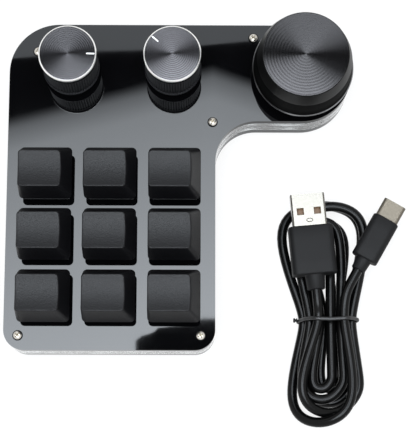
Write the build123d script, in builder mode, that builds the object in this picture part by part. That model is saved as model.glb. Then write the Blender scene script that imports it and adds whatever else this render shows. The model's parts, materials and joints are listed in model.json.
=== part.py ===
from build123d import *
import math
import os

# A keypad for one hand: nine keys and three dials on a stack of acrylic sheets shaped like a P,
# with its detached lead tied in a hank beside it. Millimetres, +X right, +Y back, +Z up.
# The origin is under the middle of the keypad, on the surface that it stands on.

# Outline of the stacked sheets
case_depth = 115.6  # front edge to back edge
neck_depth = 35.0  # strip that carries the dials
dial_reach = 103.0  # left edge to the axis of the large dial, where the neck ends round
front_corner_radius = 7.0
back_corner_radius = 17.5
neck_fillet_radius = 14.5

# Thickness of each sheet, from the top down
plate_thickness = 3.0
frame_thickness = 5.0
base_thickness = 4.0
foot_height = 2.0
foot_radius = 5.0
foot_inset = 15.0  # from the front corners' edges
frame_wall = 4.0
boss_radius = 5.0

# Screws, standoffs and their holes
screw_radius = 1.0
screw_hole_radius = 1.1
screw_head_radius = 1.65
screw_head_height = 1.2
screw_head_round = 0.72
screw_grip = 3.5  # length of thread in the standoff
recess_length = 2.0
recess_width = 0.45
recess_depth = 0.6
standoff_flats = 3.6
standoff_clearance = 0.15
thread_clearance = 0.03
front_screw_inset = 5.0
corner_screw_inset = 10.0
back_screw_inset = 4.8
back_screw_reach = 86.0
neck_screw_inset_x = 1.0
neck_screw_inset_y = 0.4

# Key field
key_rows = 3
key_columns = 3
key_pitch_x = 22.2
key_pitch_y = 21.3
side_column_inset = 14.1  # side edges to the middle of the outer columns
front_row_inset = 17.9
key_travel = 4.0

# Keycap, measured from the plate's top
cap_lift = 6.1  # skirt above the plate
cap_base = 18.1
cap_height = 8.5
cap_top_width = 14.3
cap_top_depth = 12.5
cap_top_shift = -1.75  # the top leans to the left
cap_base_corner = 1.0
cap_top_corner = 1.2
cap_wall = 1.4
dish_depth = 0.9
cap_post_radius = 2.7

# Key switch
switch_body = 13.9
switch_clearance = 0.05
switch_flange = 15.6
switch_flange_thickness = 1.0
housing_base = 14.2
housing_top = 10.0
housing_height = 6.6  # above the plate
housing_roof = 1.2
switch_floor = 1.1
slider_width = 8.4
slider_depth = 6.2
slider_end_gap = 1.5  # left under the slider when the key is down
slider_clearance = 0.2
slider_stop_gap = 0.05
stem_boss_width = 7.0
stem_boss_depth = 5.4
cross_length = 4.0
cross_thickness = 1.25
cross_height = 3.6
cross_clearance = 0.03
spring_radius = 2.0  # middle of the wire
spring_wire_radius = 0.18
spring_turns = 7
spring_seat_depth = 3.7  # bore in the slider
spring_bore_radius = 2.5
switch_post_radius = 1.95
switch_post_length = 3.2
pin_radius = 0.5
pin_length = 3.3
pin_spread_x = 3.8
pin_spread_y = 4.0

# Circuit board
board_drop = 5.0  # plate top to board top
board_thickness = 1.6
board_gap = 0.5
board_hole_clearance = 0.15
chip_size = 7.0
chip_thickness = 0.9
chip_inset = 29.0  # from the back edge
small_chip_width = 3.2
small_chip_depth = 2.5
small_chip_gap = 4.0

# Lead socket at the back of the board
socket_reach = 39.7
socket_width = 8.94
socket_height = 3.16
socket_corner = 1.3
socket_length = 7.35
socket_wall = 0.3
socket_inset = 0.3
socket_clearance = 0.35
tongue_width = 6.7
tongue_thickness = 0.7

# Rotary encoders
encoder_width = 11.7
encoder_depth = 12.2
encoder_clearance = 0.35
encoder_below_plate = 0.2
encoder_floor = 0.5
encoder_roof = 1.2
encoder_travel = 0.5
rotor_radius = 4.7
rotor_thickness = 1.9
rotor_clearance = 0.1
bushing_radius = 3.5
bushing_length = 5.0
shaft_radius = 3.0
shaft_clearance = 0.03
shaft_flat = 1.5  # from the axis to the flat
shaft_top = 18.5  # above the plate
shaft_flat_run_out = 0.2  # flat below the mouth of the knob's bore
tail_size = 3.2
tail_clearance = 0.05

# Small knobs
knob_row_inset = 17.0  # their axes from the back edge
left_knob_reach = 22.1
middle_knob_reach = 57.7
knob_top = 22.3  # above the plate
knob_base = 4.2
knob_rim_radius = 10.15
knob_rim_chamfer = 0.65
knob_rim_height = 1.25
knob_groove_radius = 9.3
knob_groove_height = 0.6
knob_body_radius = 9.75
knob_flange_radius = 9.95
knob_flange_height = 0.8
flute_count = 60
flute_depth = 0.35
knob_pocket_radius = 7.6
knob_pocket_top = 6.3

# Large dial, on the middle line of the neck
dial_top_radius = 14.7
dial_shoulder_radius = 16.35
dial_shoulder_drop = 6.5
dial_base_radius = 17.65
dial_top = 24.0  # above the plate
dial_base = 7.1
dial_rim_chamfer = 0.3
dial_pocket_radius = 14.4
dial_pocket_top = 10.4

# Lead: cord, hank and tie
cord_diameter = 3.5
cord_gap = 0.55  # between neighbouring strands
same_place = 14.0  # points nearer along the cord than this aren't compared
layer_gap = 0.5
hank_x = 111.6  # middle of the waist, from the left edge
hank_y = 11.9  # middle of the waist, from the front edge
hank_strands = 12  # through the waist, the first and the last on top of the others
inner_strand = 1.03  # innermost strand from the middle of the waist
top_strand_reach = 6.0  # first strand from the middle of the waist
lower_lobe_reach = 18.0  # waist to the middle of the lower bends
outer_lobe_reach = 24.5  # the same for the first bend, outside the others
upper_lobe_reach = 26.5
lower_fan = 1.25
upper_fan = 1.4
lower_spread = 2.0
upper_spread = 3.0
reversal_pull = 1.0
waist_straight = 4.0
tie_thickness = 0.9
tie_width = 1.4
tie_clearance = 0.3
tie_tail_length = 2.4
tie_tail_radius = 0.9

# Flat plug of the lead
plug_a_x = 107.4  # back end of the grip, from the left edge
plug_a_y = 27.0
plug_a_turn = 5.2
plug_a_shell_width = 12.0
plug_a_shell_height = 4.5
plug_a_shell_length = 11.4
plug_a_shell_wall = 0.35
plug_a_window = 2.5
plug_a_window_reach = 5.2
plug_a_window_spread = 6.0
plug_a_tongue_height = 1.9
plug_a_tongue_recess = 0.6
plug_a_grip_width = 15.6
plug_a_grip_height = 8.0
plug_a_grip_length = 17.2
plug_a_grip_corner = 2.2
plug_a_relief_root = 3.7
plug_a_relief_tip = 3.1

# Oval plug of the lead
plug_c_x = 124.7
plug_c_y = 32.7
plug_c_turn = -29.7
plug_c_shell_width = 8.3
plug_c_shell_height = 2.5
plug_c_shell_length = 6.7
plug_c_shell_wall = 0.3
plug_c_shell_corner = 1.22
plug_c_grip_width = 9.6
plug_c_grip_height = 6.4
plug_c_grip_length = 16.2
plug_c_grip_corner = 2.4
plug_c_relief_root = 2.75
plug_c_relief_tip = 2.5

# Both plugs: strain relief, edge of the grip, depth of the shell in it, and gap to the strands below
relief_length = 4.4
grip_edge = 0.8
shell_seat = 6.0
plug_seat_gap = 0.3

# Places that follow from the sizes above
case_width = key_pitch_x * (key_columns - 1) + 2 * side_column_inset  # part under the keys
overall_width = dial_reach + max(dial_base_radius, neck_depth / 2)
overall_depth = case_depth + max(dial_base_radius - neck_depth / 2, 0)
left_edge = -overall_width / 2
front_edge = -overall_depth / 2
right_edge = left_edge + case_width
back_edge = front_edge + case_depth
neck_front = back_edge - neck_depth
dial_x = left_edge + dial_reach
dial_y = back_edge - neck_depth / 2
knob_y = back_edge - knob_row_inset
base_bottom = foot_height
lower_frame_bottom = base_bottom + base_thickness
upper_frame_bottom = lower_frame_bottom + frame_thickness
plate_bottom = upper_frame_bottom + frame_thickness
plate_top = plate_bottom + plate_thickness
board_top = plate_top - board_drop
board_bottom = board_top - board_thickness

key_middle_x = left_edge + case_width / 2
key_middle_y = front_edge + front_row_inset + key_pitch_y * (key_rows - 1) / 2
key_spots = [
    (
        key_middle_x + key_pitch_x * (column - (key_columns - 1) / 2),
        key_middle_y - key_pitch_y * (row - (key_rows - 1) / 2),
    )
    for row in range(key_rows)
    for column in range(key_columns)
]
knob_spots = {
    "left": (left_edge + left_knob_reach, knob_y),
    "middle": (left_edge + middle_knob_reach, knob_y),
    "large": (dial_x, dial_y),
}
screw_spots = [
    (left_edge + front_screw_inset, front_edge + front_screw_inset),
    (right_edge - front_screw_inset, front_edge + front_screw_inset),
    (left_edge + corner_screw_inset, back_edge - corner_screw_inset),
    (left_edge + back_screw_reach, back_edge - back_screw_inset),
    (right_edge - neck_screw_inset_x, neck_front - neck_screw_inset_y),
]
foot_spots = [
    (left_edge + foot_inset, front_edge + foot_inset),
    (right_edge - foot_inset, front_edge + foot_inset),
    (left_edge + back_corner_radius, back_edge - back_corner_radius),
    (dial_x, dial_y),
]
socket_x = left_edge + socket_reach
socket_z = board_bottom - socket_height / 2

os.makedirs("parts", exist_ok=True)


def save(part, name):
    """Label a finished piece and write it under its own name."""
    part.label = name
    export_step(part, f"parts/{name}.step")


# The sheets' common outline: key field, neck and round end, with its corners rounded
with BuildSketch() as outline:
    with Locations((left_edge, front_edge)):
        Rectangle(case_width, case_depth, align=(Align.MIN, Align.MIN))
    with Locations((left_edge, neck_front)):
        Rectangle(dial_reach, neck_depth, align=(Align.MIN, Align.MIN))
    with Locations((dial_x, dial_y)):
        Circle(neck_depth / 2)
    fillet(outline.vertices().group_by(Axis.Y)[0], front_corner_radius)
    fillet(outline.vertices().sort_by_distance((right_edge, neck_front))[0], neck_fillet_radius)
    fillet(outline.vertices().sort_by_distance((left_edge, back_edge))[0], back_corner_radius)

# The room inside the frames: the outline drawn in by the wall, less a boss round each screw
with BuildSketch() as frame_opening:
    add(offset(outline.sketch, -frame_wall, mode=Mode.PRIVATE))
    with Locations(*screw_spots):
        Circle(boss_radius, mode=Mode.SUBTRACT)

with BuildSketch() as board_outline:
    add(offset(outline.sketch, -(frame_wall + board_gap), mode=Mode.PRIVATE))
    with Locations(*screw_spots):
        Circle(boss_radius + board_gap, mode=Mode.SUBTRACT)

# Gloss black top plate with square holes for the switches and room for the encoders
with BuildPart() as top_plate:
    with BuildSketch(Plane.XY.offset(plate_bottom)):
        add(outline.sketch)
        with Locations(*key_spots):
            Rectangle(
                switch_body + 2 * switch_clearance,
                switch_body + 2 * switch_clearance,
                mode=Mode.SUBTRACT,
            )
        with Locations(*knob_spots.values()):
            Rectangle(
                encoder_width + 2 * encoder_clearance,
                encoder_depth + 2 * encoder_clearance,
                mode=Mode.SUBTRACT,
            )
        with Locations(*screw_spots):
            Circle(screw_hole_radius, mode=Mode.SUBTRACT)
    extrude(amount=plate_thickness)
save(top_plate.part, "top_plate")

# Clear frames: rings with bosses for the standoffs and a slot for the lead socket at the back
standoff_hole_radius = standoff_flats / math.sqrt(3) + standoff_clearance
for frame_name, frame_bottom in (
    ("lower_frame", lower_frame_bottom),
    ("upper_frame", upper_frame_bottom),
):
    with BuildPart() as frame:
        with BuildSketch(Plane.XY.offset(frame_bottom)):
            add(outline.sketch)
            add(frame_opening.sketch, mode=Mode.SUBTRACT)
            with Locations(*screw_spots):
                Circle(standoff_hole_radius, mode=Mode.SUBTRACT)
        extrude(amount=frame_thickness)
        with BuildSketch(Plane.XZ.offset(-back_edge)):
            with Locations((socket_x, socket_z)):
                RectangleRounded(
                    socket_width + 2 * socket_clearance,
                    socket_height + 2 * socket_clearance,
                    socket_corner,
                )
        extrude(amount=frame_wall + board_gap, mode=Mode.SUBTRACT)
    save(frame.part, frame_name)

# Bottom sheet
with BuildPart() as bottom_plate:
    with BuildSketch(Plane.XY.offset(base_bottom)):
        add(outline.sketch)
        with Locations(*screw_spots):
            Circle(screw_hole_radius, mode=Mode.SUBTRACT)
    extrude(amount=base_thickness)
save(bottom_plate.part, "bottom_plate")

# Rubber feet
with BuildPart() as rubber_feet:
    with BuildSketch():
        with Locations(*foot_spots):
            Circle(foot_radius)
    extrude(amount=foot_height)
save(rubber_feet.part, "rubber_feet")

# Hexagonal brass standoffs, tapped right through
with BuildPart() as standoffs:
    with BuildSketch(Plane.XY.offset(lower_frame_bottom)):
        with Locations(*screw_spots):
            RegularPolygon(standoff_flats / 2, 6, major_radius=False)
            Circle(screw_radius + thread_clearance, mode=Mode.SUBTRACT)
    extrude(amount=2 * frame_thickness)
save(standoffs.part, "standoffs")


def build_screw(sheet_thickness):
    """A pan-head screw with a cross recess, its head resting on z = 0 and its shank pointing down."""
    with BuildPart() as screw:
        with BuildSketch():
            Circle(screw_head_radius)
        extrude(amount=screw_head_height)
        fillet(screw.edges().group_by(Axis.Z)[-1], screw_head_round)
        with BuildSketch():
            Circle(screw_radius)
        extrude(amount=-(sheet_thickness + screw_grip))
        with BuildSketch(Plane.XY.offset(screw_head_height)):
            Rectangle(recess_length, recess_width)
            Rectangle(recess_width, recess_length)
        extrude(amount=-recess_depth, mode=Mode.SUBTRACT)
    return screw.part


top_screw = build_screw(plate_thickness)
with BuildPart() as top_screws:
    with Locations(*[(x, y, plate_top) for x, y in screw_spots]):
        add(top_screw)
save(top_screws.part, "top_screws")

bottom_screw = build_screw(base_thickness).rotate(Axis.X, 180)
with BuildPart() as bottom_screws:
    with Locations(*[(x, y, base_bottom) for x, y in screw_spots]):
        add(bottom_screw)
save(bottom_screws.part, "bottom_screws")

# Circuit board with a centre hole and two pin holes under each switch
pin_offsets = [(-pin_spread_x, pin_spread_y), (pin_spread_x, pin_spread_y)]
pin_spots = [(x + dx, y + dy) for x, y in key_spots for dx, dy in pin_offsets]
with BuildPart() as circuit_board:
    with BuildSketch(Plane.XY.offset(board_bottom)):
        add(board_outline.sketch)
        with Locations(*key_spots):
            Circle(switch_post_radius + board_hole_clearance, mode=Mode.SUBTRACT)
        with Locations(*pin_spots):
            Circle(pin_radius + board_hole_clearance, mode=Mode.SUBTRACT)
    extrude(amount=board_thickness)
save(circuit_board.part, "circuit_board")

# Controller and two smaller chips on the underside of the board
chip_y = back_edge - chip_inset
with BuildPart() as board_chips:
    with BuildSketch(Plane.XY.offset(board_bottom)):
        with Locations((socket_x, chip_y)):
            Rectangle(chip_size, chip_size)
        side_step = chip_size / 2 + small_chip_gap
        with Locations((socket_x - side_step, chip_y), (socket_x + side_step, chip_y)):
            Rectangle(small_chip_width, small_chip_depth)
    extrude(amount=-chip_thickness)
save(board_chips.part, "board_chips")

# Lead socket: a flattened steel tube, closed behind, with a tongue
with BuildPart() as usb_socket:
    with BuildSketch(Plane.XZ.offset(-(back_edge - socket_inset))):
        with Locations((socket_x, socket_z)):
            RectangleRounded(socket_width, socket_height, socket_corner)
    extrude(amount=socket_length)
    with BuildSketch(Plane.XZ.offset(-(back_edge - socket_inset))):
        with Locations((socket_x, socket_z)):
            RectangleRounded(
                socket_width - 2 * socket_wall,
                socket_height - 2 * socket_wall,
                socket_corner - socket_wall,
            )
            Rectangle(tongue_width, tongue_thickness, mode=Mode.SUBTRACT)
    extrude(amount=socket_length - socket_wall, mode=Mode.SUBTRACT)
save(usb_socket.part, "usb_socket")

# Key switch, built about its own axis with z = 0 on the plate's top
room_width = slider_width + 2 * slider_clearance
room_depth = slider_depth + 2 * slider_clearance
switch_floor_z = switch_floor - board_drop
slider_bottom = switch_floor_z + key_travel + slider_end_gap
housing_ceiling = housing_height - housing_roof
slider_top = housing_ceiling - slider_stop_gap

with BuildPart() as switch_base:
    with BuildSketch(Plane.XY.offset(-board_drop)):
        Rectangle(switch_body, switch_body)
    extrude(amount=board_drop)
    with BuildSketch():
        Rectangle(switch_flange, switch_flange)
    extrude(amount=switch_flange_thickness)
    with BuildSketch(Plane.XY.offset(switch_floor_z)):
        Rectangle(room_width, room_depth)
    extrude(amount=board_drop - switch_floor + switch_flange_thickness, mode=Mode.SUBTRACT)
    with BuildSketch(Plane.XY.offset(-board_drop)):
        Circle(switch_post_radius)
    extrude(amount=-switch_post_length)

with BuildPart() as switch_cover:
    with BuildSketch(Plane.XY.offset(switch_flange_thickness)):
        Rectangle(housing_base, housing_base)
    with BuildSketch(Plane.XY.offset(housing_height)):
        Rectangle(housing_top, housing_top)
    loft()
    with BuildSketch(Plane.XY.offset(switch_flange_thickness)):
        Rectangle(room_width, room_depth)
    extrude(amount=housing_ceiling - switch_flange_thickness, mode=Mode.SUBTRACT)
    with BuildSketch(Plane.XY.offset(housing_ceiling)):
        Rectangle(stem_boss_width + 2 * slider_clearance, stem_boss_depth + 2 * slider_clearance)
    extrude(amount=housing_roof, mode=Mode.SUBTRACT)

with BuildPart() as switch_stem:
    with BuildSketch(Plane.XY.offset(slider_bottom)):
        Rectangle(slider_width, slider_depth)
    extrude(amount=slider_top - slider_bottom)
    with BuildSketch(Plane.XY.offset(slider_top)):
        Rectangle(stem_boss_width, stem_boss_depth)
    extrude(amount=housing_height - slider_top)
    with BuildSketch(Plane.XY.offset(housing_height)):
        Rectangle(cross_length, cross_thickness)
        Rectangle(cross_thickness, cross_length)
    extrude(amount=cross_height)
    with BuildSketch(Plane.XY.offset(slider_bottom)):
        Circle(spring_bore_radius)
    extrude(amount=spring_seat_depth, mode=Mode.SUBTRACT)

# Return spring from the base housing's floor to the seat in the slider
spring_bottom = switch_floor_z + spring_wire_radius
spring_height = slider_bottom + spring_seat_depth - switch_floor_z - 2 * spring_wire_radius
with BuildPart() as switch_spring:
    with BuildLine() as spring_line:
        Helix(spring_height / spring_turns, spring_height, spring_radius, center=(0, 0, spring_bottom))
    with BuildSketch(Plane(origin=spring_line.line @ 0, z_dir=spring_line.line % 0)):
        Circle(spring_wire_radius)
    sweep(is_frenet=True)

# Keycap: a hollow block that leans to the left, with a trough across its top and a post inside
roof_height = cap_height - dish_depth - cap_wall
roof_share = roof_height / cap_height
roof_width = cap_base + (cap_top_width - cap_base) * roof_share
roof_depth = cap_base + (cap_top_depth - cap_base) * roof_share
dish_radius = ((cap_top_depth / 2) ** 2 + dish_depth**2) / (2 * dish_depth)
cap_top_z = cap_lift + cap_height
with BuildPart() as keycap:
    with BuildSketch(Plane.XY.offset(cap_lift)):
        RectangleRounded(cap_base, cap_base, cap_base_corner)
    with BuildSketch(Plane.XY.offset(cap_top_z)):
        with Locations((cap_top_shift, 0)):
            RectangleRounded(cap_top_width, cap_top_depth, cap_top_corner)
    loft()
    with BuildSketch(Plane.YZ):
        with Locations((0, cap_top_z - dish_depth + dish_radius)):
            Circle(dish_radius)
    extrude(amount=cap_base, both=True, mode=Mode.SUBTRACT)
    with BuildSketch(Plane.XY.offset(cap_lift)):
        Rectangle(cap_base - 2 * cap_wall, cap_base - 2 * cap_wall)
    with BuildSketch(Plane.XY.offset(cap_lift + roof_height)):
        with Locations((cap_top_shift * roof_share, 0)):
            Rectangle(roof_width - 2 * cap_wall, roof_depth - 2 * cap_wall)
    loft(mode=Mode.SUBTRACT)
    with BuildSketch(Plane.XY.offset(housing_height)):
        Circle(cap_post_radius)
    extrude(amount=cap_lift + roof_height - housing_height)
    with BuildSketch(Plane.XY.offset(housing_height)):
        Rectangle(cross_length + 2 * cross_clearance, cross_thickness + 2 * cross_clearance)
        Rectangle(cross_thickness + 2 * cross_clearance, cross_length + 2 * cross_clearance)
    extrude(amount=cross_height + cross_clearance, mode=Mode.SUBTRACT)

# The nine keys, numbered from the back left in reading order
for number, (x, y) in enumerate(key_spots, start=1):
    key_place = Location((x, y, plate_top))
    save(keycap.part.moved(key_place), f"keycap_{number}")
    save(switch_stem.part.moved(key_place), f"stem_{number}")
    save(switch_spring.part.moved(key_place), f"spring_{number}")

with BuildPart() as switch_bases:
    with Locations(*[(x, y, plate_top) for x, y in key_spots]):
        add(switch_base.part)
save(switch_bases.part, "switch_bases")

with BuildPart() as switch_covers:
    with Locations(*[(x, y, plate_top) for x, y in key_spots]):
        add(switch_cover.part)
save(switch_covers.part, "switch_covers")

with BuildPart() as switch_pins:
    with BuildSketch(Plane.XY.offset(board_top)):
        with Locations(*pin_spots):
            Circle(pin_radius)
    extrude(amount=-pin_length)
save(switch_pins.part, "switch_pins")

# Encoders, built about their own axis with z = 0 on the plate's top
encoder_top = -encoder_below_plate
chamber_bottom = encoder_floor - board_drop
chamber_top = encoder_top - encoder_roof
rotor_top = chamber_top - rotor_clearance
rotor_bottom = rotor_top - rotor_thickness
shaft_shoulder = rotor_top + encoder_travel + rotor_clearance
tail_bottom = chamber_bottom + encoder_travel + rotor_clearance
flat_bottom = knob_pocket_top - shaft_flat_run_out

with BuildPart() as encoder:
    with BuildSketch(Plane.XY.offset(-board_drop)):
        Rectangle(encoder_width, encoder_depth)
    extrude(amount=board_drop - encoder_below_plate)
    with BuildSketch(Plane.XY.offset(encoder_top)):
        Circle(bushing_radius)
    extrude(amount=bushing_length)
    with BuildSketch(Plane.XY.offset(chamber_bottom)):
        Circle(rotor_radius + rotor_clearance)
    extrude(amount=chamber_top - chamber_bottom, mode=Mode.SUBTRACT)
    with BuildSketch(Plane.XY.offset(chamber_top)):
        Circle(shaft_radius + shaft_clearance)
    extrude(amount=encoder_roof + bushing_length, mode=Mode.SUBTRACT)

with BuildPart() as rotor:
    with BuildSketch(Plane.XY.offset(rotor_bottom)):
        Circle(rotor_radius)
        Rectangle(tail_size + 2 * tail_clearance, tail_size + 2 * tail_clearance, mode=Mode.SUBTRACT)
    extrude(amount=rotor_thickness)

with BuildPart() as shaft:
    with BuildSketch(Plane.XY.offset(tail_bottom)):
        Rectangle(tail_size, tail_size)
    extrude(amount=shaft_shoulder - tail_bottom)
    with BuildSketch(Plane.XY.offset(shaft_shoulder)):
        Circle(shaft_radius)
    extrude(amount=shaft_top - shaft_shoulder)
    with BuildSketch(Plane.XY.offset(flat_bottom)):
        with Locations((0, shaft_flat)):
            Rectangle(2 * shaft_radius, shaft_radius, align=(Align.CENTER, Align.MIN))
    extrude(amount=shaft_top - flat_bottom, mode=Mode.SUBTRACT)

# Bore for the flatted shaft, shared by the knobs and the large dial
with BuildSketch() as shaft_bore:
    Circle(shaft_radius + shaft_clearance)
    with Locations((0, shaft_flat + shaft_clearance)):
        Rectangle(
            2 * (shaft_radius + shaft_clearance),
            shaft_radius,
            align=(Align.CENTER, Align.MIN),
            mode=Mode.SUBTRACT,
        )

# Small knob: flange, fluted body, groove and a rim with a cut edge, hollow below round the bushing
groove_bottom = knob_top - knob_rim_height - knob_groove_height
flange_top = knob_base + knob_flange_height
with BuildPart() as knob:
    with BuildSketch(Plane.XY.offset(knob_base)):
        Circle(knob_flange_radius)
    extrude(amount=knob_flange_height)
    with BuildSketch(Plane.XY.offset(flange_top)):
        Circle(knob_body_radius)
        with PolarLocations(knob_body_radius, flute_count):
            Rectangle(2 * flute_depth, flute_depth, rotation=45, mode=Mode.SUBTRACT)
    extrude(amount=groove_bottom - flange_top)
    with BuildSketch(Plane.XY.offset(groove_bottom)):
        Circle(knob_groove_radius)
    extrude(amount=knob_groove_height)
    with BuildSketch(Plane.XY.offset(knob_top - knob_rim_height)):
        Circle(knob_rim_radius)
    extrude(amount=knob_rim_height)
    chamfer(knob.edges().group_by(Axis.Z)[-1], knob_rim_chamfer)
    with BuildSketch(Plane.XY.offset(knob_base)):
        Circle(knob_pocket_radius)
    extrude(amount=knob_pocket_top - knob_base, mode=Mode.SUBTRACT)
    with BuildSketch(Plane.XY.offset(knob_pocket_top)):
        add(shaft_bore.sketch)
    extrude(amount=shaft_top - knob_pocket_top + shaft_clearance, mode=Mode.SUBTRACT)

# Large dial: two cones under a flat turned face
with BuildPart() as large_dial:
    with BuildSketch(Plane.XZ):
        with BuildLine():
            Polyline(
                (0, dial_base),
                (dial_base_radius - dial_rim_chamfer, dial_base),
                (dial_base_radius, dial_base + dial_rim_chamfer),
                (dial_shoulder_radius, dial_top - dial_shoulder_drop),
                (dial_top_radius, dial_top),
                (0, dial_top),
                close=True,
            )
        make_face()
    revolve(axis=Axis.Z)
    with BuildSketch(Plane.XY.offset(dial_base)):
        Circle(dial_pocket_radius)
    extrude(amount=dial_pocket_top - dial_base, mode=Mode.SUBTRACT)
    with BuildSketch(Plane.XY.offset(dial_pocket_top)):
        add(shaft_bore.sketch)
    extrude(amount=shaft_top - dial_pocket_top + shaft_clearance, mode=Mode.SUBTRACT)

for side, (x, y) in knob_spots.items():
    dial_place = Location((x, y, plate_top))
    handle = large_dial if side == "large" else knob
    save(handle.part.moved(dial_place), f"{side}_knob")
    save(shaft.part.moved(dial_place), f"{side}_shaft")
    save(rotor.part.moved(dial_place), f"{side}_rotor")

with BuildPart() as encoder_bodies:
    with Locations(*[(x, y, plate_top) for x, y in knob_spots.values()]):
        add(encoder.part)
save(encoder_bodies.part, "encoder_bodies")

# Lead: two layers of strands lie on the tie, and both plugs lie on the strands
waist = Vector(left_edge + hank_x, front_edge + hank_y, 0)
cord_radius = cord_diameter / 2
parallel_limit = 1e-9  # headings closer than this count as parallel
strand_step = (cord_diameter + cord_gap) / 2  # each half turn moves in, then out, by this much
low_z = tie_thickness + tie_clearance + cord_radius
high_z = low_z + cord_diameter + layer_gap
over_z = high_z + cord_diameter + layer_gap
bed_top = high_z + cord_radius
first_laid = 1
last_laid = hank_strands - 2
forward = Vector(0, -1, 0)
backward = Vector(0, 1, 0)


def plug_plane(x, y, turn, height):
    """A plane across a plug at the back of its grip, facing the way that the plug points."""
    heading = backward.rotate(Axis.Z, turn)
    origin = (left_edge + x, front_edge + y, bed_top + plug_seat_gap + height / 2)
    return Plane(origin=origin, x_dir=heading.cross(Vector(0, 0, 1)), z_dir=heading)


plug_a_plane = plug_plane(plug_a_x, plug_a_y, plug_a_turn, plug_a_grip_height)
plug_c_plane = plug_plane(plug_c_x, plug_c_y, plug_c_turn, plug_c_grip_height)
cord_start = plug_c_plane.origin - plug_c_plane.z_dir * relief_length
cord_end = plug_a_plane.origin - plug_a_plane.z_dir * relief_length


def strand_offset(number):
    """Distance of a strand from the middle of the waist: the strands step in, then out again."""
    half = hank_strands / 2
    steps = half - 1 - number if number < half else number - half
    return inner_strand + strand_step * steps


def strand_side(number):
    """Strands run forward on the right, and come back on the left."""
    return 1 if number % 2 == 0 else -1


def strand_level(number):
    """The first half of the strands lies in the lower layer."""
    return low_z if number < hank_strands / 2 else high_z


def waist_point(number, lead):
    """Where a strand enters or leaves the straight part of the waist."""
    across = strand_side(number) * strand_offset(number)
    return waist + Vector(across, lead * waist_straight / 2, strand_level(number))


def bend_point(number, side, level, reach):
    """Where a strand meets the round bend of a lobe, further out than at the waist."""
    fan, spread = (lower_fan, lower_spread) if reach < 0 else (upper_fan, upper_spread)
    return waist + Vector(side * (fan * strand_offset(number) + spread), reach, level)


def biarc(start, start_heading, end, end_heading):
    """Two tangent arcs from one point and heading to another, met where their legs are equal."""
    gap = end - start
    headings = start_heading + end_heading
    turn = 2 * (1 - start_heading.dot(end_heading))
    along = gap.dot(headings)
    if turn < parallel_limit:
        leg = gap.dot(gap) / (4 * gap.dot(end_heading))
    else:
        leg = (math.sqrt(along**2 + turn * gap.dot(gap)) - along) / turn
    meeting = (start + end + (start_heading - end_heading) * leg) / 2
    first = TangentArc(start, meeting, tangent=start_heading)
    TangentArc(meeting, end, tangent=first % 1)


with BuildPart() as cable_hank:
    with BuildLine() as cord_line:
        # From the oval plug over the waist, then down to the lower layer in the outermost bend
        straight_in = cord_start - plug_c_plane.z_dir * cord_diameter
        over_back = waist + Vector(top_strand_reach, waist_straight / 2, over_z)
        over_front = waist + Vector(top_strand_reach, -waist_straight / 2, over_z)
        bend_start = bend_point(last_laid, 1, over_z, -outer_lobe_reach)
        bend_stop = bend_point(first_laid, -1, low_z, -outer_lobe_reach)
        Line(cord_start, straight_in)
        biarc(straight_in, plug_c_plane.z_dir * -1, over_back, forward)
        Line(over_back, over_front)
        biarc(over_front, forward, bend_start, forward)
        TangentArc(bend_start, bend_stop, tangent=forward)
        outer_bend_stop = bend_stop
        bend_stop = bend_point(first_laid, -1, low_z, -lower_lobe_reach)
        Line(outer_bend_stop, bend_stop)
        # The laid strands: in through the lower layer, up one layer in the innermost bend, out again
        for number in range(first_laid, last_laid + 1):
            side = strand_side(number)
            heading = forward if side > 0 else backward
            reach = -lower_lobe_reach if side > 0 else upper_lobe_reach
            if number == hank_strands / 2 - 1:
                reach -= math.copysign(reversal_pull, reach)
            entry = waist_point(number, side)
            leave = waist_point(number, -side)
            biarc(bend_stop, heading, entry, heading)
            Line(entry, leave)
            bend_start = bend_point(number, side, strand_level(number), reach)
            if number < last_laid:
                bend_stop = bend_point(number + 1, -side, strand_level(number + 1), reach)
            else:
                bend_stop = bend_point(number, -side, over_z, reach)
            biarc(leave, heading, bend_start, heading)
            TangentArc(bend_start, bend_stop, tangent=heading)
        # The last strand has climbed onto the others, and runs over the waist to the flat plug
        straight_out = cord_end - plug_a_plane.z_dir * cord_diameter
        biarc(bend_stop, backward, straight_out, plug_a_plane.z_dir)
        Line(straight_out, cord_end)
    with BuildSketch(Plane(origin=cord_start, z_dir=plug_c_plane.z_dir * -1)):
        Circle(cord_radius)
    sweep()
save(cable_hank.part, "cable_hank")

# Length, volume and least gap of the cord to itself, measured on points one millimetre apart
cord_wire = cord_line.wire()
cord_length = cord_wire.length
cord_points = [cord_wire.position_at(i / round(cord_length)) for i in range(round(cord_length) + 1)]
least_gap = min(
    (cord_points[i] - cord_points[j]).length
    for i in range(len(cord_points))
    for j in range(i + round(same_place), len(cord_points))
)
cord_volume = math.pi * cord_radius**2 * cord_length
print(f"cord length {cord_length:.1f} mm, least gap to itself {least_gap - cord_diameter:.2f} mm")
print(f"cord volume {cable_hank.part.volume:.1f} mm3, section times length {cord_volume:.1f} mm3")
bends = cord_wire.edges().filter_by(GeomType.CIRCLE)
print("cord bend radii", sorted({round(bend.radius, 1) for bend in bends}))

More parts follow.
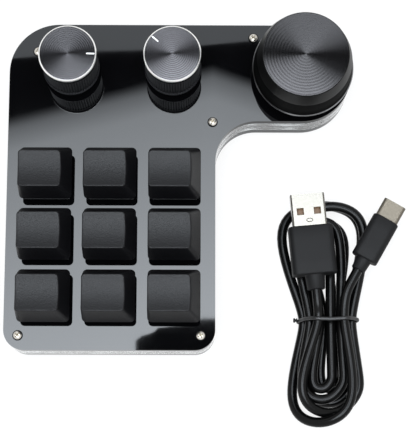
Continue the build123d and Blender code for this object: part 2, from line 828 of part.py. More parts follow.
# Twist tie drawn round the strands at the waist, with its twisted tail on the left
tied_points = [point for point in cord_points if abs(point.Y - waist.Y) <= tie_width]
tied_spots = [(point.X, point.Z) for point in tied_points]
tie_left = min(x for x, z in tied_spots) - cord_radius - tie_clearance
with BuildPart() as cable_tie:
    for growth, mode in ((tie_clearance + tie_thickness, Mode.ADD), (tie_clearance, Mode.SUBTRACT)):
        with BuildSketch(Plane.XZ.offset(-(waist.Y + tie_width / 2))):
            with BuildLine():
                for spot in tied_spots:
                    CenterArc(spot, cord_radius + growth, 0, 360)
            make_hull()
        extrude(amount=tie_width, mode=mode)
    with BuildSketch(Plane(origin=(tie_left, waist.Y, low_z), z_dir=(-1, 0, 0))):
        Circle(tie_tail_radius)
    extrude(amount=tie_tail_length)
save(cable_tie.part, "cable_tie")


def build_shell(plane, width, height, corner, wall, length):
    """A plug's folded steel shell: a flattened tube that starts inside the grip."""
    with BuildPart() as shell:
        with BuildSketch(plane.offset(-shell_seat)):
            RectangleRounded(width, height, corner)
            RectangleRounded(width - 2 * wall, height - 2 * wall, corner - wall, mode=Mode.SUBTRACT)
        extrude(amount=shell_seat + length)
    return shell.part


def build_grip(plane, size, corner, shell_size, shell_corner, relief_root, relief_tip):
    """A plug's moulded grip: a rounded block with a pocket for the shell and a stub for the cord."""
    width, height, length = size
    with BuildPart() as grip:
        with BuildSketch(plane):
            RectangleRounded(width, height, corner)
        extrude(amount=length)
        fillet(grip.faces().sort_by(Axis(plane.origin, plane.z_dir))[0].edges(), grip_edge)
        fillet(grip.faces().sort_by(Axis(plane.origin, plane.z_dir))[-1].edges(), grip_edge)
        with BuildSketch(plane):
            Circle(relief_root)
        with BuildSketch(plane.offset(-relief_length)):
            Circle(relief_tip)
        loft()
        with BuildSketch(plane.offset(length - shell_seat)):
            RectangleRounded(*shell_size, shell_corner)
        extrude(amount=shell_seat, mode=Mode.SUBTRACT)
    return grip.part


# Flat plug: shell with two square windows in each broad side, tongue and grip
plug_a_corner = 2 * plug_a_shell_wall
plug_a_mouth = plug_a_plane.offset(plug_a_grip_length)
with BuildPart() as usb_a_shell:
    add(
        build_shell(
            plug_a_mouth,
            plug_a_shell_width,
            plug_a_shell_height,
            plug_a_corner,
            plug_a_shell_wall,
            plug_a_shell_length,
        )
    )
    window_origin = plug_a_mouth.origin + plug_a_mouth.z_dir * plug_a_window_reach
    with BuildSketch(Plane(origin=window_origin, x_dir=plug_a_mouth.x_dir, z_dir=(0, 0, 1))):
        with Locations((-plug_a_window_spread / 2, 0), (plug_a_window_spread / 2, 0)):
            Rectangle(plug_a_window, plug_a_window)
    extrude(amount=plug_a_shell_height, both=True, mode=Mode.SUBTRACT)
save(usb_a_shell.part, "usb_a_shell")

with BuildPart() as usb_a_tongue:
    with BuildSketch(plug_a_mouth.offset(-shell_seat)):
        with Locations((0, plug_a_shell_height / 2 - plug_a_shell_wall)):
            Rectangle(
                plug_a_shell_width - 2 * plug_a_corner,
                plug_a_tongue_height,
                align=(Align.CENTER, Align.MAX),
            )
    extrude(amount=shell_seat + plug_a_shell_length - plug_a_tongue_recess)
save(usb_a_tongue.part, "usb_a_tongue")

usb_a_grip = build_grip(
    plug_a_plane,
    (plug_a_grip_width, plug_a_grip_height, plug_a_grip_length),
    plug_a_grip_corner,
    (plug_a_shell_width, plug_a_shell_height),
    plug_a_corner,
    plug_a_relief_root,
    plug_a_relief_tip,
)
save(usb_a_grip, "usb_a_grip")

# Oval plug: shell and grip
usb_c_shell = build_shell(
    plug_c_plane.offset(plug_c_grip_length),
    plug_c_shell_width,
    plug_c_shell_height,
    plug_c_shell_corner,
    plug_c_shell_wall,
    plug_c_shell_length,
)
save(usb_c_shell, "usb_c_shell")

usb_c_grip = build_grip(
    plug_c_plane,
    (plug_c_grip_width, plug_c_grip_height, plug_c_grip_length),
    plug_c_grip_corner,
    (plug_c_shell_width, plug_c_shell_height),
    plug_c_shell_corner,
    plug_c_relief_root,
    plug_c_relief_tip,
)
save(usb_c_grip, "usb_c_grip")
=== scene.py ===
import json
import math

import bpy
import numpy as np
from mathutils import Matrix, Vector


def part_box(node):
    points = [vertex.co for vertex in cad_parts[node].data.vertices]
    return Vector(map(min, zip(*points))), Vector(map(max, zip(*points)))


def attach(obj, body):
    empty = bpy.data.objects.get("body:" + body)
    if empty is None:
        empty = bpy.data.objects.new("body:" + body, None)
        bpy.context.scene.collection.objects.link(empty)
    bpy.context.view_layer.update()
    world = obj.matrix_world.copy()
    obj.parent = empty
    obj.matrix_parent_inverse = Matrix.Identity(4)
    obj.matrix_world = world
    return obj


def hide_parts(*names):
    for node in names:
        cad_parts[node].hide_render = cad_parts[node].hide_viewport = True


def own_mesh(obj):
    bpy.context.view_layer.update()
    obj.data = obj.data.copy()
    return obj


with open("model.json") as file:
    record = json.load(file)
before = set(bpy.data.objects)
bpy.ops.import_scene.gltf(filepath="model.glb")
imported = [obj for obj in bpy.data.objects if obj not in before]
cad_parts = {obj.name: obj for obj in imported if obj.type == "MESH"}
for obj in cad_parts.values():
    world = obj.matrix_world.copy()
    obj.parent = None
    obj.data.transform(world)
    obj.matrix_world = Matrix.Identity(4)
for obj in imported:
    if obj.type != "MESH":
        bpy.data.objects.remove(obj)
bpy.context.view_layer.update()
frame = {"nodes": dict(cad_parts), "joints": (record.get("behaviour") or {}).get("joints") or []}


# Rubber feet: four discs punched from black rubber sheet, stuck under the keypad.
# Matt and slightly grainy, with a rounded lower edge where they meet the desk.
def linear(colour):
    """Linear colour of an sRGB hex value. A channel c gives c / 12.92 where it is dark, and
    ((c + 0.055) / 1.055) ^ 2.4 elsewhere."""
    channels = np.array([int(colour[i : i + 2], 16) for i in (1, 3, 5)]) / 255
    light = np.where(channels <= 0.04045, channels / 12.92, ((channels + 0.055) / 1.055) ** 2.4)
    return (*light.tolist(), 1.0)


def add_node(finish, kind, settings=(), links=()):
    """Add a node to a finish. Settings go to its sockets or properties, and links bring (node, output)
    to its sockets."""
    node = finish.node_tree.nodes.new(kind)
    for key, value in dict(settings).items():
        if isinstance(key, int) or key in node.inputs:
            node.inputs[key].default_value = value
        else:
            setattr(node, key, value)
    for key, (source, output) in dict(links).items():
        finish.node_tree.links.new(source.outputs[output], node.inputs[key])
    return node


def start_finish(name, settings):
    """A new finish: a Principled shader with its sockets set. Returns the finish and the shader."""
    finish = bpy.data.materials.new(name)
    finish.use_nodes = True
    shader = finish.node_tree.nodes["Principled BSDF"]
    for key, value in settings.items():
        shader.inputs[key].default_value = value
    return finish, shader


def link(finish, source, output, node, socket):
    """Join one node's output to another node's socket."""
    finish.node_tree.links.new(source.outputs[output], node.inputs[socket])


def grain(finish, shader, size_mm, relief_mm, strength=1.0):
    """Raise a noise of the given size, in millimetres, as fine relief on a finish."""
    place = add_node(finish, "ShaderNodeTexCoord")
    noise = add_node(
        finish,
        "ShaderNodeTexNoise",
        {"Scale": 1000 / size_mm, "Detail": 2.0},
        {"Vector": (place, "Object")},
    )
    bump = add_node(
        finish,
        "ShaderNodeBump",
        {"Distance": relief_mm / 1000, "Strength": strength},
        {"Height": (noise, "Fac")},
    )
    link(finish, bump, "Normal", shader, "Normal")
    return noise


def vary(finish, noise, low, high, shader, socket):
    """Let a noise move one socket of the shader between two values."""
    spread = add_node(
        finish,
        "ShaderNodeMapRange",
        {"From Min": 0.3, "From Max": 0.7, "To Min": low, "To Max": high},
        {"Value": (noise, "Fac")},
    )
    link(finish, spread, "Result", shader, socket)


def dress(finish, *nodes):
    """Give CAD nodes a finish in place of their plain colour."""
    for node in nodes:
        frame["nodes"][node].data.materials.clear()
        frame["nodes"][node].data.materials.append(finish)


def build_piece(name, body, finishes, grids, sharp=35):
    """A piece from grids of points in millimetres. The columns of a grid close on themselves, neighbouring
    rows are joined by quads, and a fan closes each end. Each grid comes with the finish number of every
    band. The piece's u runs along the rows, in decimetres, and its v round the columns."""
    points, faces, uvs, picks = [], [], [], []
    first = 0
    for grid, bands in grids:
        rows, columns = grid.shape[:2]
        row, column = np.meshgrid(np.arange(rows - 1), np.arange(columns), indexing="ij")
        after = (column + 1) % columns
        here, beside = row * columns + column, row * columns + after
        quads = np.stack([here, beside, beside + columns, here + columns], -1).reshape(-1, 4)
        steps = np.linalg.norm(np.diff(grid, axis=0), axis=2).mean(1)
        along = np.concatenate([[0], np.cumsum(steps)]) / 100
        u = np.stack([along[row], along[row], along[row + 1], along[row + 1]], -1).reshape(-1, 4)
        v = np.stack([column, column + 1, column + 1, column], -1).reshape(-1, 4) / columns
        turn = np.arange(columns)
        low, high = rows * columns, rows * columns + 1
        last = (rows - 1) * columns
        start_fan = np.stack([np.full(columns, low), (turn + 1) % columns, turn], -1)
        end_fan = np.stack([last + turn, last + (turn + 1) % columns, np.full(columns, high)], -1)
        start_v = np.stack([turn + 0.5, turn + 1, turn], -1) / columns
        end_v = np.stack([turn, turn + 1, turn + 0.5], -1) / columns
        start_u = np.tile([along[0] - 0.001, along[0], along[0]], (columns, 1))
        end_u = np.tile([along[-1], along[-1], along[-1] + 0.001], (columns, 1))
        points += [grid.reshape(-1, 3), grid[0].mean(0)[None], grid[-1].mean(0)[None]]
        faces += (quads + first).tolist() + (start_fan + first).tolist() + (end_fan + first).tolist()
        for us, vs in ((u, v), (start_u, start_v), (end_u, end_v)):
            uvs.append(np.stack([us, vs], -1).reshape(-1, 2))
        bands = np.broadcast_to(bands, rows + 1)
        picks += [np.repeat(stretch, columns) for stretch in (bands[1:-1], bands[:1], bands[-1:])]
        first += rows * columns + 2
    mesh = bpy.data.meshes.new(name)
    mesh.from_pydata((np.concatenate(points) / 1000).tolist(), [], faces)
    mesh.uv_layers.new(name="UVMap").data.foreach_set("uv", np.concatenate(uvs).ravel())
    mesh.polygons.foreach_set("material_index", np.concatenate(picks).astype(np.int32))
    mesh.polygons.foreach_set("use_smooth", np.ones(len(faces), bool))
    mesh.set_sharp_from_angle(angle=math.radians(sharp))
    for finish in finishes:
        mesh.materials.append(finish)
    mesh.validate()
    mesh.update()
    piece = bpy.data.objects.new(name, mesh)
    bpy.context.scene.collection.objects.link(piece)
    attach(piece, body)
    return piece


def lathe(profile, columns, middle=(0, 0)):
    """A profile of (radius, height) turned about an upright axis: x and y follow the cosine and sine of
    the turn."""
    profile = np.array(profile, float)
    turn = np.arange(columns) / columns * 2 * np.pi
    x = middle[0] + profile[:, :1] * np.cos(turn)
    y = middle[1] + profile[:, :1] * np.sin(turn)
    return np.stack([x, y, np.broadcast_to(profile[:, 1:], x.shape)], -1)


plate_corners = np.array(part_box("top_plate")) * 1000
(left_edge, front_edge), (neck_end, back_edge) = plate_corners[:, :2].tolist()
body_width, neck_depth = 72.6, 35.0
right_edge = left_edge + body_width
dial_x, dial_y = neck_end - neck_depth / 2, back_edge - neck_depth / 2
foot_rubber, foot_shader = start_finish(
    "black_sheet_rubber", {"Base Color": linear("#1c1c1c"), "Roughness": 0.85}
)
grain(foot_rubber, foot_shader, 0.4, 0.03)
front_inset, back_inset, foot_height = 15, 17.5, 2.0
foot_spots = [
    (left_edge + front_inset, front_edge + front_inset),
    (right_edge - front_inset, front_edge + front_inset),
    (left_edge + back_inset, back_edge - back_inset),
    (dial_x, back_edge - back_inset),
]
foot_profile = [(1.5, 0.0), (4.5, 0.0), (4.85, 0.15), (5.0, 0.5)]
foot_profile += [(5.0, foot_height - 0.1), (4.9, foot_height), (1.5, foot_height)]
feet = build_piece(
    "feet",
    "keypad_case",
    [foot_rubber],
    [(lathe(foot_profile, 48, spot), 0) for spot in foot_spots],
)
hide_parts("rubber_feet")


# Bottom sheet: 4 mm smoked acrylic, laser-cut to the keypad's outline and screwed on from below.
# Its faces are polished; the cut edge carries fine upright lines from the laser.
def cut_edge(finish, shader, width_mm, relief_mm, strength):
    """Raise the upright lines of a cut edge, of the given width: a noise drawn out fifty times along z."""
    place = add_node(finish, "ShaderNodeTexCoord")
    drawn_out = {"Scale": (1.0, 1.0, 0.02)}
    stretch = add_node(finish, "ShaderNodeMapping", drawn_out, {"Vector": (place, "Object")})
    size = {"Scale": 1000 / width_mm}
    lines = add_node(finish, "ShaderNodeTexNoise", size, {"Vector": (stretch, "Vector")})
    relief = {"Distance": relief_mm / 1000, "Strength": strength}
    bump = add_node(finish, "ShaderNodeBump", relief, {"Height": (lines, "Fac")})
    link(finish, bump, "Normal", shader, "Normal")
    return place


smoked_acrylic, smoked_shader = start_finish(
    "smoked_acrylic",
    {"Base Color": linear("#2c2e30"), "Roughness": 0.12, "IOR": 1.49, "Specular IOR Level": 0.05},
)
cut_edge(smoked_acrylic, smoked_shader, 0.35, 0.02, 0.5)
dress(smoked_acrylic, "bottom_plate")

# Two clear frames: 5 mm acrylic rings, laser-cut, stacked between the top and bottom sheets.
# The floor and the brass standoffs show through them; their flame-polished edges are gently wavy and keep
# frosted patches where the polish missed. Each seam carries a dark line of painted shade, for the shadow of
# the
# chamfered edges: there the edge passes less light, turns dark grey and mirrors less.
clear_acrylic, clear_shader = start_finish(
    "clear_acrylic",
    {"Base Color": linear("#fafdfc"), "Roughness": 0.0, "IOR": 1.49, "Transmission Weight": 1.0},
)
place = cut_edge(clear_acrylic, clear_shader, 7.0, 1.2, 0.15)
squash = add_node(
    clear_acrylic, "ShaderNodeMapping", {"Scale": (1.0, 1.0, 2.5)}, {"Vector": (place, "Object")}
)
patches = add_node(
    clear_acrylic, "ShaderNodeTexNoise", {"Scale": 1000 / 9.0}, {"Vector": (squash, "Vector")}
)
frost = add_node(
    clear_acrylic,
    "ShaderNodeMapRange",
    {"From Min": 0.36, "From Max": 0.56, "To Min": 0.45, "To Max": 1.0},
    {"Value": (patches, "Fac")},
)
axes = add_node(clear_acrylic, "ShaderNodeSeparateXYZ", (), {"Vector": (place, "Object")})
# The seams lie 6, 11 and 16 mm up, so the distance to the nearest one runs to and fro every 5 mm
layer = add_node(clear_acrylic, "ShaderNodeMath", {"operation": "SUBTRACT", 1: 0.001}, {0: (axes, "Z")})
from_seam = add_node(
    clear_acrylic, "ShaderNodeMath", {"operation": "PINGPONG", 1: 0.0025}, {0: (layer, "Value")}
)
# Painted shade: within about a millimetre of a seam the edge passes less light, turns dark grey and mirrors
# less
seam_shade_range = {"From Min": 0.0003, "From Max": 0.0011}
clear = add_node(clear_acrylic, "ShaderNodeMapRange", seam_shade_range, {"Value": (from_seam, "Value")})
through = add_node(
    clear_acrylic, "ShaderNodeMath", {"operation": "MULTIPLY"}, {0: (frost, "Result"), 1: (clear, "Result")}
)
painted_seam_shade = add_node(
    clear_acrylic,
    "ShaderNodeMix",
    {"data_type": "RGBA", 6: linear("#2e3031"), 7: linear("#fafdfc")},
    {0: (clear, "Result")},
)
sheen_range = {"To Min": 0.06, "To Max": 0.5}
sheen = add_node(clear_acrylic, "ShaderNodeMapRange", sheen_range, {"Value": (clear, "Result")})
link(clear_acrylic, through, "Value", clear_shader, "Transmission Weight")
link(clear_acrylic, painted_seam_shade, 2, clear_shader, "Base Color")
link(clear_acrylic, sheen, "Result", clear_shader, "Specular IOR Level")
dress(clear_acrylic, "upper_frame", "lower_frame")

# Brass standoffs: hexagonal bar, cut to length and tapped at both ends for the screws.
# They stand in the bosses of the clear frames, and their turned ends have a soft yellow gloss.
standoff_brass, brass_shader = start_finish(
    "turned_brass", {"Base Color": linear("#c9a860"), "Metallic": 1.0, "Roughness": 0.3}
)
brass_noise = grain(standoff_brass, brass_shader, 0.6, 0.01, 0.5)
vary(standoff_brass, brass_noise, 0.24, 0.36, brass_shader, "Roughness")
dress(standoff_brass, "standoffs")

# Circuit board: glass-fibre laminate under dark green solder mask, with resin chips beneath it and a
# plated steel socket soldered to its back edge. The board hangs under the plate by its switches.
solder_mask, mask_shader = start_finish(
    "solder_mask", {"Base Color": linear("#12301f"), "Roughness": 0.3, "IOR": 1.5}
)
place = add_node(solder_mask, "ShaderNodeTexCoord")
tracks = add_node(
    solder_mask,
    "ShaderNodeTexBrick",
    {
        "Scale": 1000 / 4.0,
        "Color1": linear("#12301f"),
        "Color2": linear("#173a26"),
        "Mortar": linear("#24553a"),
        "Mortar Size": 0.04,
    },
    {"Vector": (place, "Object")},
)
link(solder_mask, tracks, "Color", mask_shader, "Base Color")
dress(solder_mask, "circuit_board")
chip_resin, resin_shader = start_finish("moulded_resin", {"Base Color": linear("#202022"), "Roughness": 0.6})
grain(chip_resin, resin_shader, 0.15, 0.01)
dress(chip_resin, "board_chips")
socket_steel, socket_shader = start_finish(
    "plated_socket_steel", {"Base Color": linear("#c9c7c2"), "Metallic": 1.0, "Roughness": 0.28}
)
socket_noise = grain(socket_steel, socket_shader, 0.3, 0.004, 0.5)
vary(socket_steel, socket_noise, 0.22, 0.34, socket_shader, "Roughness")
dress(socket_steel, "usb_socket")

# Top plate: 3 mm polished black acrylic that carries the switches and encoders.
# Its face mirrors whatever is above it; handling leaves a faint bloom that the roughness follows. Its sawn
# edges are dull.
black_acrylic, plate_shader = start_finish(
    "polished_black_acrylic", {"Base Color": linear("#050506"), "Roughness": 0.03, "IOR": 1.49}
)
place = add_node(black_acrylic, "ShaderNodeTexCoord")
bloom = add_node(
    black_acrylic,
    "ShaderNodeTexNoise",
    {"Scale": 1000 / 18.0, "Detail": 4.0},
    {"Vector": (place, "Object")},
)
vary(black_acrylic, bloom, 0.015, 0.035, plate_shader, "Roughness")
facing = add_node(black_acrylic, "ShaderNodeNewGeometry")
facing_up = add_node(black_acrylic, "ShaderNodeSeparateXYZ", (), {"Vector": (facing, "Normal")})
gloss = add_node(
    black_acrylic,
    "ShaderNodeMapRange",
    {"From Min": 0.5, "From Max": 0.9, "To Min": 0.03, "To Max": 0.5},
    {"Value": (facing_up, "Z")},
)
link(black_acrylic, gloss, "Result", plate_shader, "Specular IOR Level")
dress(black_acrylic, "top_plate")

# Screws: nickel-plated pan heads with a cross recess, five from above and five from below.
# The head is turned and plated; the recess is punched. A dull black ring on the plate round each head is
# painted
# shade and painted reflection: the head's shadow and its dark mirror image in the polished plate.
screw_nickel, nickel_shader = start_finish(
    "nickel_plate", {"Base Color": linear("#d2cec6"), "Metallic": 1.0, "Roughness": 0.3}
)
nickel_noise = grain(screw_nickel, nickel_shader, 0.25, 0.004, 0.6)
vary(screw_nickel, nickel_noise, 0.24, 0.38, nickel_shader, "Roughness")
# Painted shade: a dull black for the ring round each screw head and the band under each small knob's rim.
painted_shade_black, painted_shade_shader = start_finish(
    "black_painted_shade", {"Base Color": linear("#040404"), "Roughness": 0.5, "Specular IOR Level": 0.05}
)
grain(painted_shade_black, painted_shade_shader, 0.2, 0.004)
front_screw_inset, corner_screw_inset = 5, 10
screw_spots = [
    (left_edge + front_screw_inset, front_edge + front_screw_inset),
    (right_edge - front_screw_inset, front_edge + front_screw_inset),
    (left_edge + corner_screw_inset, back_edge - corner_screw_inset),
    (left_edge + 86, back_edge - 4.8),
    (right_edge - 1, back_edge - neck_depth - 0.4),
]
head_radius, head_height, recess_depth = 1.42, 1.2, 0.75
arm_reach, arm_width = 0.95, 0.28


def screw(spot, seat, shank, way, turned):
    """A pan-head screw about an upright axis. The head is a dome, z = height - 0.5 (r / radius)^3, with a
    cross recess cut as a vee where either arm is nearer to its line than the arm's width. The way is 1 for
    a head above and -1 for one below."""
    columns = 96
    shank_rows = [(0.4, -shank), (0.9, -shank), (1.0, -shank + 0.3), (1.0, -0.02)]
    shank_rows += [(head_radius - 0.04, 0.0), (head_radius, 0.15)]
    lower = lathe(shank_rows, columns)
    radius = np.linspace(head_radius, 0.06, 34)[:, None]
    turn = np.arange(columns) / columns * 2 * np.pi
    x, y = radius * np.cos(turn), radius * np.sin(turn)
    dome = head_height - 0.5 * (radius / head_radius) ** 3 + 0 * x
    one_arm = np.maximum(np.abs(x) - arm_width, np.abs(y) - arm_reach)
    other_arm = np.maximum(np.abs(y) - arm_width, np.abs(x) - arm_reach)
    sunk = recess_depth * np.clip(-np.minimum(one_arm, other_arm) / arm_width, 0, 1)
    grid = np.concatenate([lower, np.stack([x, y, dome - sunk], -1)])
    cos, sin = np.cos(turned), np.sin(turned)
    grid = grid @ np.array([[cos, sin, 0], [-sin, cos, 0], [0, 0, 1]])
    if way < 0:
        grid = grid * (1, -1, -1)
    return grid + (*spot, seat)


plate_face = plate_corners[1, 2].item()
top_shank, bottom_shank = 6.5, 7.5
turns = (0.9, 0.5, 0.2, 0.7, 1.1)
# The ring of painted shade: 1.3 to 1.8 mm from each screw's axis, 0.2 mm proud of the plate.
painted_shade_ring = [(1.3, plate_face), (1.75, plate_face), (1.8, plate_face + 0.05)]
painted_shade_ring += [(1.75, plate_face + 0.2), (1.3, plate_face + 0.2)]
top_screws = build_piece(
    "top_screw_set",
    "keypad_case",
    [screw_nickel, painted_shade_black],
    [(screw(spot, plate_face, top_shank, 1, turned), 0) for spot, turned in zip(screw_spots, turns)]
    + [(lathe(painted_shade_ring, 48, spot), 1) for spot in screw_spots],
)
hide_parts("top_screws")
bottom_screws = build_piece(
    "bottom_screw_set",
    "keypad_case",
    [screw_nickel],
    [
        (screw(spot, foot_height, bottom_shank, -1, turned), 0)
        for spot, turned in zip(screw_spots, turns[::-1])
    ],
)
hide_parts("bottom_screws")

# Key switches: moulded nylon housings clipped into the plate, with an acetal stem, a steel return spring and
# two brass contact pins each. Little of them shows under the caps. Each spring is wound anew, with its own
# mesh.
switch_nylon, nylon_shader = start_finish(
    "moulded_nylon", {"Base Color": linear("#1b1b1d"), "Roughness": 0.45}
)
grain(switch_nylon, nylon_shader, 0.2, 0.01)
dress(switch_nylon, "switch_bases", "switch_covers")
stem_acetal, stem_shader = start_finish(
    "moulded_acetal", {"Base Color": linear("#8c2a26"), "Roughness": 0.35}
)
grain(stem_acetal, stem_shader, 0.3, 0.006)
dress(stem_acetal, *[f"stem_{number}" for number in range(1, 10)])
spring_steel, spring_shader = start_finish(
    "spring_wire", {"Base Color": linear("#c8c4ba"), "Metallic": 1.0, "Roughness": 0.25}
)
grain(spring_steel, spring_shader, 0.1, 0.004)
spring_turns, coil_radius, wire_radius = 7, 2, 0.18


def tube(path, normals, binormals, wide, thick, columns=20):
    """An oval section carried along a path: path + wide/2 cos(t) binormal + thick/2 sin(t) normal."""
    turn = np.arange(columns) / columns * 2 * np.pi
    return (
        path[:, None]
        + wide / 2 * np.cos(turn)[None, :, None] * binormals[:, None]
        + thick / 2 * np.sin(turn)[None, :, None] * normals[:, None]
    )


def return_spring(x, y, foot, top):
    """A wire wound at one radius: x and y follow the cosine and sine of the turn, and z rises evenly."""
    angle = np.linspace(0, spring_turns * 2 * np.pi, spring_turns * 28 + 1)
    height = np.linspace(foot + wire_radius, top - wire_radius, len(angle))
    cos, sin = np.cos(angle), np.sin(angle)
    climb = (top - foot) / (2 * spring_turns) / np.pi
    outward = np.column_stack([cos, sin, np.zeros(len(angle))])
    along = np.column_stack([-coil_radius * sin, coil_radius * cos, np.full(len(angle), climb)])
    along /= np.linalg.norm(along, axis=1)[:, None]
    path = np.column_stack([x + coil_radius * cos, y + coil_radius * sin, height])
    return tube(path, outward, np.cross(along, outward), 2 * wire_radius, 2 * wire_radius, 10)


for joint in frame["joints"]:
    if joint["name"].startswith("key_"):
        number = joint["name"].split("_")[1]
        lowest, highest = np.array(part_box(f"spring_{number}")) * 1000
        spring_x, spring_y = (lowest + highest)[:2] / 2
        spring = build_piece(
            f"return_spring_{number}",
            "keypad_case",
            [spring_steel],
            [(return_spring(spring_x, spring_y, lowest[2], highest[2]), 0)],
        )
        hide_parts(f"spring_{number}")
        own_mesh(spring)
pin_brass, pin_shader = start_finish(
    "tinned_brass", {"Base Color": linear("#cdb987"), "Metallic": 1.0, "Roughness": 0.35}
)
grain(pin_brass, pin_shader, 0.2, 0.006)
dress(pin_brass, "switch_pins")

# Keycaps: moulded in dark grey plastic with a fine matt texture, pushed onto the switch stems.
# Each leans to the left, and its top is a trough that runs from side to side.
keycap_plastic, cap_shader = start_finish(
    "matt_moulded_keycap",
    {"Base Color": linear("#0c0c0e"), "Roughness": 0.42, "IOR": 1.5, "Specular IOR Level": 0.22},
)
# The real grain is about 0.15 mm across; it is drawn three times as coarse and deep so that it shows
cap_noise = grain(keycap_plastic, cap_shader, 0.45, 0.1, 0.8)
vary(keycap_plastic, cap_noise, 0.38, 0.46, cap_shader, "Roughness")


def rounded_rectangle(width, depth, corner, steps=6, along=9):
    """Points round a rectangle with quarter-circle corners, anticlockwise from the back end of its
    right side."""
    middles = np.array([(1, 1), (-1, 1), (-1, -1), (1, -1)]) * (width / 2 - corner, depth / 2 - corner)
    turn = np.linspace(0, np.pi / 2, steps + 1) + np.arange(4)[:, None] * np.pi / 2
    arcs = middles[:, None] + corner * np.stack([np.cos(turn), np.sin(turn)], -1)
    share = np.linspace(0, 1, along + 2)[1:-1, None]
    sides = arcs[:, -1:] + (np.roll(arcs[:, :1], -1, axis=0) - arcs[:, -1:]) * share
    return np.concatenate([arcs, sides], axis=1).reshape(-1, 2)


skirt, cap_top = 25.1, 33.6
cap_side, crown_width, crown_depth, crown_shift = 18.1, 14.3, 12.5, -1.75
two_walls, roof_height, dish_depth, cap_edge = 2.8, 6.2, 0.9, 0.42


def keycap(x, y):
    """A cap as one closed skin: inner roof, inner wall, skirt, flanks and trough. The flanks are straight
    lines from the skirt to the top. They end where they meet the trough, z = lowest + R - sqrt(R^2 - y^2),
    and a quadratic curve rounds that edge."""
    rise, shift = cap_top - skirt, np.array([crown_shift, 0])
    base = rounded_rectangle(cap_side, cap_side, 1.6)
    crown = rounded_rectangle(crown_width, crown_depth, 1.2) + shift
    hollow = rounded_rectangle(cap_side - two_walls, cap_side - two_walls, 0.6)
    roof_share = roof_height / rise
    roof_size = [cap_side + (side - cap_side) * roof_share - two_walls for side in (crown_width, crown_depth)]
    roof = rounded_rectangle(*roof_size, 0.6) + shift * roof_share
    trough_radius = ((crown_depth / 2) ** 2 + dish_depth**2) / (2 * dish_depth)

    def trough(across):
        return cap_top - dish_depth + trough_radius - np.sqrt(trough_radius**2 - across**2)

    def level(outline, height):
        return np.column_stack([outline, np.full(len(outline), height)])

    def flank(share):
        spot = base + (crown - base) * share[:, None]
        return np.column_stack([spot, skirt + rise * share])

    rim = np.ones(len(base))
    for _ in range(5):
        rim = (trough(flank(rim)[:, 1]) - skirt) / rise
    edge = flank(rim)
    below = flank(rim - cap_edge / rise)
    reach = np.linalg.norm(edge[:, :2] - shift, axis=1)[:, None]

    def dish(share):
        spot = shift + (edge[:, :2] - shift) * share
        return np.column_stack([spot, trough(spot[:, 1])])

    inset = dish(1 - cap_edge / reach)
    rows = [level(shift * 0.7 + (roof - shift * 0.7) * 0.5, skirt + roof_height)]
    rows += [level(roof, skirt + roof_height), level(hollow, skirt + 0.1), level(hollow * 1.012, skirt)]
    rows += [level(base * 0.988, skirt), flank(np.full(len(base), 0.012))]
    rows += [flank((rim - cap_edge / rise) * share) for share in (0.1, 0.3, 0.5, 0.7, 0.9)]
    rows += [(1 - t) ** 2 * below + 2 * t * (1 - t) * edge + t**2 * inset for t in np.linspace(0, 1, 6)]
    rows += [dish((1 - cap_edge / reach) * share) for share in (0.9, 0.78, 0.64, 0.5, 0.36, 0.22, 0.1)]
    return np.stack(rows) + (x, y, 0)


def cap_post(x, y):
    """The round post inside a cap that grips the stem, turned from the switch to the roof."""
    roof = skirt + roof_height
    return lathe([(2.1, 25.6), (2.6, 25.6), (2.7, 25.7), (2.7, roof), (1.0, roof)], 32, (x, y))


pitch_x, pitch_y = 22.2, 21.3
first_x, first_y = left_edge + 14.1, front_edge + 17.9
for number in range(1, 10):
    row, column = divmod(number - 1, 3)
    key_x = first_x + pitch_x * column
    key_y = first_y + pitch_y * (2 - row)
    cap = build_piece(
        f"cap_{number}",
        f"key_{number}",
        [keycap_plastic],
        [(keycap(key_x, key_y), 0), (cap_post(key_x, key_y), 0)],
        sharp=50,
    )
    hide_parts(f"keycap_{number}")

# Rotary encoders: plated steel cans with a threaded bushing, a plastic rotor and an aluminium shaft with
# a flat. They sit on the board under the dials and hardly show.
encoder_steel, encoder_shader = start_finish(
    "plated_encoder_steel", {"Base Color": linear("#b9b8b4"), "Metallic": 1.0, "Roughness": 0.32}
)
encoder_noise = grain(encoder_steel, encoder_shader, 0.4, 0.006, 0.5)
vary(encoder_steel, encoder_noise, 0.26, 0.4, encoder_shader, "Roughness")
dress(encoder_steel, "encoder_bodies")
rotor_plastic, rotor_shader = start_finish(
    "moulded_rotor", {"Base Color": linear("#29292b"), "Roughness": 0.5}
)
grain(rotor_plastic, rotor_shader, 0.2, 0.008)
shaft_metal, shaft_shader = start_finish(
    "turned_aluminium_shaft", {"Base Color": linear("#cfd0d2"), "Metallic": 1.0, "Roughness": 0.3}
)
grain(shaft_metal, shaft_shader, 0.3, 0.005)
for side in ("left", "middle", "large"):
    dress(rotor_plastic, f"{side}_rotor")
    dress(shaft_metal, f"{side}_shaft")


# Small knobs: aluminium, knurled, dark anodised, then cut again at the rim so that a bright ring of bare
# metal is left. The top is spun, with fine rings that smear light towards and away from the middle.
def brush_round(finish, shader):
    """Let a turned face's highlight spread across its rings, by the piece's own UV map."""
    way = add_node(finish, "ShaderNodeTangent", {"direction_type": "UV_MAP", "uv_map": "UVMap"})
    link(finish, way, "Tangent", shader, "Tangent")


